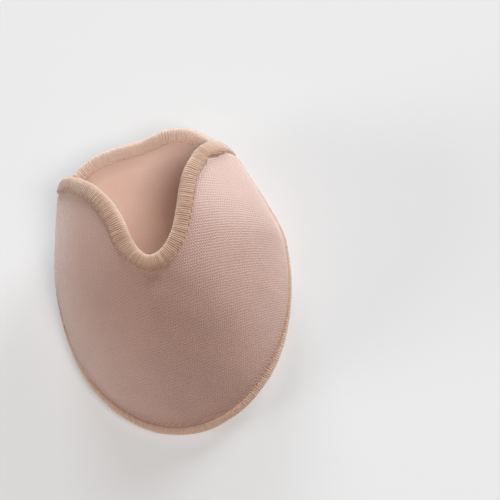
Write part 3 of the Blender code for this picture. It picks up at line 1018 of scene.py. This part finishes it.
def panel_stations(form, rim):
    """Edge, lip and their outward directions along one panel's mouth edge."""
    edge, _ = even_steps(form, rim, THREAD_CORNER_INSET, PANEL_STATIONS)
    lip = step_inward(form, edge, MOUTH_BAND)
    return np.stack([lay(form, edge), lay(form, lip), outward(form, edge), outward(form, lip)], axis=1)


def corner_station(side):
    """The mouth edge's station at a corner, mitred between the two panels."""
    y = np.array([CORNER_AT, np.interp(MOUTH_BAND, real_length(sole_point, SEAM_PLAN), SEAM_PLAN[:, 1])])
    plan = np.stack([side * half_width(y), y], axis=-1)
    top, sole = lay(top_point, plan), lay(sole_point, plan)
    top_way, sole_way = outward(top_point, plan), outward(sole_point, plan)
    middle = (top + sole) / 2
    turn = np.sum(top_way * sole_way, axis=1, keepdims=True)
    to_top = np.sum(top_way * (top - middle), axis=1, keepdims=True)
    to_sole = np.sum(sole_way * (sole - middle), axis=1, keepdims=True)
    offset = top_way * (to_top - turn * to_sole) + sole_way * (to_sole - turn * to_top)
    mitre = (top_way + sole_way) / (1.0 + turn)
    return np.vstack([middle + offset / (1.0 - turn ** 2) + mitre * CORNER_EASE, mitre])[None]


def mouth_stations():
    """Stations of the whole mouth edge, one closed loop over both panels."""
    top = panel_stations(top_point, TOP_EDGE)
    sole = panel_stations(sole_point, SOLE_EDGE)[::-1]
    rows = np.concatenate([corner_station(-1), top, corner_station(1), sole])
    edge, lip, edge_way, lip_way = (smooth_rows(rows, STEPS_BETWEEN, closed=True)[:, k] for k in range(4))
    lip_middle = lip - lip_way * WALL / 2
    edge_middle = edge - edge_way * WALL / 2
    half = WALL / 2 + GAP + THREAD
    stations = np.stack([lip_middle, edge_middle - lip_middle, lip_way * half, edge_way * half], axis=1)
    return wander(stations, MOUTH_WANDER)


SEAM = seam_stations()
MOUTH = mouth_stations()
print("stations:", len(SEAM), "on the side seam,", len(MOUTH), "on the mouth edge")

# %% [markdown]
# ## The bed under the threads
# Between two threads one sees the thread behind them, in shadow. Making every hidden thread would cost
# faces that nobody sees, so a smooth bed lies just under the visible ones. It stands for those threads in
# their colour, painted a little deeper than the seam's thread as painted shade.
# It is a rounded channel over the edge, open at the lip where the cloth goes in. The side towards the foot
# is a fifth narrower than the outer one, as it looks in the photo.

# %% Wrap the beds round the edges
BED_INSET = 0.02
BED_START = 0.1
SLOT_LEAST = 0.05
SLOT_ROOM = 0.02
ROUND_POINTS = 9
ROUND_OUT = 1.15
ROUND_UP = 0.5


def bed_loops(stations, slot_half):
    """Closed loops of a rounded channel, one for each station."""
    quarter = np.linspace(0.0, math.pi / 2, ROUND_POINTS)
    out = np.sin(quarter) ** ROUND_OUT
    rise = np.cos(quarter).clip(0.0) ** ROUND_UP
    out = np.concatenate([out, out[-2::-1]])[None, :, None]
    rise = np.concatenate([rise, -rise[-2::-1]])[None, :, None]
    lip, reach, lip_rise, edge_rise = (stations[:, None, k] for k in range(4))
    half = length_of(stations[0, 2])
    length = length_of(reach)[..., None]

    def place(along, across):
        return lip + reach * along + (lip_rise + (edge_rise - lip_rise) * along) * across

    start = BED_START * np.ones_like(length)
    inner_start = start + INNER_LIP
    slot_end = np.maximum(1.0 - THREAD / length, BED_START + INNER_LIP + SLOT_LEAST)
    begin = np.where(rise < 0, inner_start, start)
    outer = place(begin + out * (1.0 - begin - BED_INSET / length), rise * (half - BED_INSET) / half)
    up = slot_half / half
    slot = [place(inner_start, -up), place(slot_end, -up), place(slot_end, up), place(start, up)]
    return np.concatenate([outer] + slot, axis=1)


seam_bed = join_loops("side_seam_bed", bed_loops(SEAM, PLY + SLOT_ROOM), False, BED_THREAD_AND_SHADE)
mouth_bed = join_loops("mouth_edge_bed", bed_loops(MOUTH, WALL / 2 + GAP), True, BED_THREAD_AND_SHADE)

# %% [markdown]
# ## Overlock threads with Geometry Nodes
# The visible threads repeat hundreds of times along two bending edges, which is work for Geometry Nodes.
# The path is a chain of edges that carries the stations' directions as attributes. The tree puts a bare
# line of points at each pitch along the path, bends every line over the edge, and gives it a round section.
# Each thread starts at the lip on the outside, crosses the band, turns over the free edge, and ends inside,
# a little short of the lip there. Random shifts, heights and tones are seeded, so that the same threads
# come out each time.

# %% Nodes that both kinds of thread share
LOOP_POINTS = 19
STITCH_POINTS = 6
THREAD_SIDES = 6


def thread_tree(name, own_inputs):
    """An empty tree with the inputs that every kind of thread has, and its own ones."""
    inputs = [
        ("Geometry", "Geometry", None),
        ("Pitch", "Float", 0.001),
        ("Thread radius", "Float", 0.0003),
        ("Unevenness", "Float", 0.3),
        ("Seed", "Int", 1),
        ("Material", "Material", None),
    ]
    inputs += [(title, "Float", value) for title, value in own_inputs.items()]
    return open_tree(name, "GeometryNodeTree", inputs, [("Geometry", "Geometry")])


def named(tree, name, kind="FLOAT_VECTOR"):
    """A named attribute's socket."""
    return put(tree, "GeometryNodeInputNamedAttribute", {"Name": name}, "Attribute", data_type=kind)


def chance_of(tree):
    """The three random numbers of each thread, as the outputs X, Y and Z."""
    return add(tree, "ShaderNodeSeparateXYZ", {0: named(tree, "chance")}).outputs


def store(geometry, name, value, kind="FLOAT"):
    """Geometry with one more named attribute."""
    inputs = {"Geometry": geometry, "Name": name, "Value": value}
    return put(geometry.id_data, "GeometryNodeStoreNamedAttribute", inputs, data_type=kind, domain="POINT")


def strung_lines(tree, given, points_each):
    """A bare line of points at each pitch along the path, with its direction, its chance and its share."""
    curve = put(tree, "GeometryNodeMeshToCurve", {"Mesh": given["Geometry"]})
    dots = {"Curve": curve, "Length": given["Pitch"]}
    dots = add(tree, "GeometryNodeCurveToPoints", dots, mode="LENGTH").outputs
    marked = store(dots["Points"], "forward", dots["Tangent"], "FLOAT_VECTOR")
    limits = {"Min": (-1, -1, -1), "Max": (1, 1, 1), "Seed": given["Seed"]}
    chance = put(tree, "FunctionNodeRandomValue", limits, data_type="FLOAT_VECTOR")
    marked = store(marked, "chance", chance, "FLOAT_VECTOR")
    line = put(tree, "GeometryNodeMeshLine", {"Count": points_each, "Offset": (0, 0, 0)})
    share = calc("DIVIDE", put(tree, "GeometryNodeInputIndex", {}), points_each - 1.0)
    line = store(line, "share", share)
    copies = put(tree, "GeometryNodeInstanceOnPoints", {"Points": marked, "Instance": line})
    return put(tree, "GeometryNodeRealizeInstances", {"Geometry": copies})


def bend_lines(tree, lines, along, over, rise):
    """Move each point of the lines along the edge, towards the free edge and out of the cloth, by shares."""
    way = {0: over, 4: named(tree, "lip_rise"), 5: named(tree, "edge_rise")}
    way = put(tree, "ShaderNodeMix", way, 1, data_type="VECTOR")
    move = scaled(named(tree, "forward"), along)
    move = vector_calc("ADD", move, scaled(named(tree, "reach"), over))
    move = vector_calc("ADD", move, scaled(way, rise))
    return put(tree, "GeometryNodeSetPosition", {"Geometry": lines, "Offset": move})


def round_threads(tree, given, out, lines, radius_share):
    """Give bent lines a round section and finish the tree."""
    lines = store(lines, "tone", chance_of(tree)["Z"])
    curves = put(tree, "GeometryNodeMeshToCurve", {"Mesh": lines})
    curves = put(tree, "GeometryNodeSetCurveRadius", {"Curve": curves, "Radius": radius_share})
    circle = {"Resolution": THREAD_SIDES, "Radius": given["Thread radius"]}
    circle = put(tree, "GeometryNodeCurvePrimitiveCircle", circle)
    tubes = {"Curve": curves, "Profile Curve": circle, "Fill Caps": True}
    tubes = put(tree, "GeometryNodeCurveToMesh", tubes)
    tubes = put(tree, "GeometryNodeSetShadeSmooth", {"Geometry": tubes})
    tubes = put(tree, "GeometryNodeRealizeInstances", {"Geometry": tubes})
    tubes = put(tree, "GeometryNodeSetMaterial", {"Geometry": tubes, "Material": given["Material"]})
    fill(out, {"Geometry": tubes})


print("points on a thread:", LOOP_POINTS, "and on a stitch:", STITCH_POINTS)

# %% The tree that wraps threads
END_DIVE = 0.42
END_BACK = 0.03
LOOSENESS = 0.14
BUNCH_SCALE = 260.0
BUNCH_SWAY = 2.2
OWN_SWAY = 0.5
KNOT_WIDTH = 0.09
PALE_FROM = 0.02
PALE_TO = -0.2


def overlock_tree():
    """Threads that wrap an edge from lip to lip."""
    own_inputs = {"Slant": 0.5, "Shift": 0.0, "Swell": 1.0, "Knot": 0.35}
    tree, given, out = thread_tree("overlock_threads", own_inputs)
    lines = strung_lines(tree, given, LOOP_POINTS)
    chance = chance_of(tree)
    from_edge = calc("SUBTRACT", 0.5, named(tree, "share", "FLOAT"))
    folded = calc("MULTIPLY_ADD", calc("ABSOLUTE", from_edge), -2.0, 1.0)
    turn = calc("MULTIPLY", folded, math.pi / 2)
    at_end = calc("LESS_THAN", folded, 0.5 / LOOP_POINTS)
    over = calc("POWER", calc("SINE", turn), ROUND_OUT)
    over = calc("MULTIPLY_ADD", at_end, -END_BACK, over)
    inner_lip = calc("MULTIPLY", calc("LESS_THAN", from_edge, 0.0), INNER_LIP)
    over = calc("MULTIPLY_ADD", inner_lip, calc("SUBTRACT", 1.0, over), over)
    rise = calc("POWER", calc("MAXIMUM", calc("COSINE", turn), 0.0), ROUND_UP)
    rise = calc("MULTIPLY", rise, calc("MULTIPLY_ADD", at_end, -END_DIVE, given["Swell"]))
    looser = calc("MULTIPLY", chance["Y"], given["Unevenness"])
    rise = calc("MULTIPLY", rise, calc("MULTIPLY_ADD", looser, LOOSENESS, 1.0))
    rise = calc("MULTIPLY", rise, calc("SIGN", from_edge))
    sway = calc("MULTIPLY", calc("SUBTRACT", speckle(tree, BUNCH_SCALE, 1.0), 0.5), BUNCH_SWAY)
    sway = calc("MULTIPLY_ADD", chance["X"], OWN_SWAY, sway)
    along = calc("MULTIPLY_ADD", sway, given["Unevenness"], given["Shift"])
    along = calc("SUBTRACT", along, calc("MULTIPLY", from_edge, given["Slant"]))
    along = calc("MULTIPLY", along, given["Pitch"])
    bent = bend_lines(tree, lines, along, over, rise)
    # The inner side is marked here, and the thread's material paints it paler there as painted light.
    bent = store(bent, "inside", fade(from_edge, PALE_FROM, PALE_TO, 0.0, 1.0))
    knot_at = calc("DIVIDE", from_edge, KNOT_WIDTH)
    knot = calc("EXPONENT", calc("MULTIPLY", calc("MULTIPLY", knot_at, knot_at), -1.0))
    round_threads(tree, given, out, bent, calc("MULTIPLY_ADD", knot, given["Knot"], 1.0))
    return tree


OVERLOCK = overlock_tree()
print("overlock tree:", len(OVERLOCK.nodes), "nodes")

# %% [markdown]
# The needle's own thread runs along the lip and holds the ends of the loops down, one short stitch after
# another. It shows as a fine line between the band and the cloth. A second, smaller tree lays it, once on
# each side of the cloth.

# %% The tree that lays needle stitches
STITCH_SHARE = 0.94
ARCH_ROUND = 0.4
ARCH_FROM = 0.84
ARCH_RISE = 0.22
STITCH_OVER = 0.01
STITCH_STRAY = 0.04
THIN_END = 0.75
THICKER_MIDDLE = 0.3


def needle_tree():
    """Short stitches, end to end along the lip."""
    tree, given, out = thread_tree("needle_stitches", {"Side": 1.0})
    lines = strung_lines(tree, given, STITCH_POINTS)
    share = named(tree, "share", "FLOAT")
    length = calc("MULTIPLY", given["Pitch"], STITCH_SHARE)
    along = calc("MULTIPLY", calc("SUBTRACT", share, 0.5), length)
    arch = calc("POWER", calc("SINE", calc("MULTIPLY", share, math.pi)), ARCH_ROUND)
    rise = calc("MULTIPLY", calc("MULTIPLY_ADD", arch, ARCH_RISE, ARCH_FROM), given["Side"])
    stray = calc("MULTIPLY", chance_of(tree)["X"], given["Unevenness"])
    inside = calc("LESS_THAN", given["Side"], 0.0)
    over = calc("MULTIPLY_ADD", stray, STITCH_STRAY, STITCH_OVER)
    over = calc("MULTIPLY_ADD", inside, INNER_LIP, over)
    # The inner stitches are marked here, and their material paints them paler as painted light.
    bent = store(bend_lines(tree, lines, along, over, rise), "inside", inside)
    round_threads(tree, given, out, bent, calc("MULTIPLY_ADD", arch, THICKER_MIDDLE, THIN_END))
    return tree


NEEDLE = needle_tree()
print("needle tree:", len(NEEDLE.nodes), "nodes")


# %% Lay the threads
def station_path(name, stations, closed):
    """A chain of edges through the stations, with their directions as attributes."""
    points = (stations[:, 0] + SHIFT) * MM
    count = len(points)
    edges = [(i, (i + 1) % count) for i in range(count if closed else count - 1)]
    mesh = bpy.data.meshes.new(name)
    mesh.from_pydata(points.tolist(), edges, [])
    for title, column in (("reach", 1), ("lip_rise", 2), ("edge_rise", 3)):
        values = (stations[:, column] * MM).ravel()
        mesh.attributes.new(title, "FLOAT_VECTOR", "POINT").data.foreach_set("vector", values)
    return new_object(name, mesh)


def grow(path, name, tree, values):
    """Run a tree on a path and return its result as a plain mesh object."""
    modifier = path.modifiers.new("threads", "NODES")
    modifier.node_group = tree
    for item in tree.interface.items_tree:
        if item.item_type == "SOCKET" and item.in_out == "INPUT" and item.name in values:
            modifier[item.identifier] = values[item.name]
    path.update_tag()
    mesh = bpy.data.meshes.new_from_object(path.evaluated_get(bpy.context.evaluated_depsgraph_get()))
    mesh.name = name
    path.modifiers.remove(modifier)
    for title in ("reach", "lip_rise", "edge_rise", "forward", "chance", "share"):
        if title in mesh.attributes:
            mesh.attributes.remove(mesh.attributes[title])
    print(name, ":", len(mesh.polygons), "faces")
    return new_object(name, mesh)


THICK = {"Pitch": 0.7 * MM, "Unevenness": 0.2}
FINE = {"Pitch": 2.2 * MM, "Unevenness": 0.3, "Thread radius": 0.16 * MM}
KINDS = (
    # name, tree, inputs
    ("threads", OVERLOCK, {**THICK, "Slant": 0.9, "Swell": 0.95, "Knot": 0.1}),
    ("return_threads", OVERLOCK, {**THICK, "Slant": -0.6, "Shift": 0.5, "Swell": 0.93, "Knot": 0.0}),
    ("outer_stitches", NEEDLE, {**FINE, "Side": 1.0}),
    ("inner_stitches", NEEDLE, {**FINE, "Side": -1.0}),
)
EDGES = (
    # name, stations, closed, node, first seed, radius of the overlock thread, material
    ("side_seam", SEAM, False, "side_seam_overlock", 3, 0.42 * MM, SEAM_THREAD),
    ("mouth_edge", MOUTH, True, "mouth_overlock", 8, 0.52 * MM, MOUTH_THREAD),
)
threads = []
for edge, stations, closed, node, first_seed, radius, material in EDGES:
    path = station_path(edge + "_path", stations, closed)
    for number, (kind, tree, inputs) in enumerate(KINDS):
        inputs = {"Thread radius": radius, "Material": material, "Seed": first_seed + number, **inputs}
        threads.append((grow(path, edge + "_" + kind, tree, inputs), node, "overlock_thread"))
    bpy.data.objects.remove(path, do_unlink=True)

# %% [markdown]
# ## Put the pieces in the frame
# Every piece rides on the one body of the imported model and stands for the node that it dresses, and the
# table names a material slot for each.

# %% Ride and replace
PIECES = [
    (top_wall, "top_panel", "knit_fabric"),
    (sole_wall, "sole_panel", "knit_fabric"),
    (seam_bed, "side_seam_overlock", "overlock_thread"),
    (mouth_bed, "mouth_overlock", "overlock_thread"),
] + threads
for piece, node, slot in PIECES:
    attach(piece, "root")
    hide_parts(node)
print("pieces:", len(PIECES))
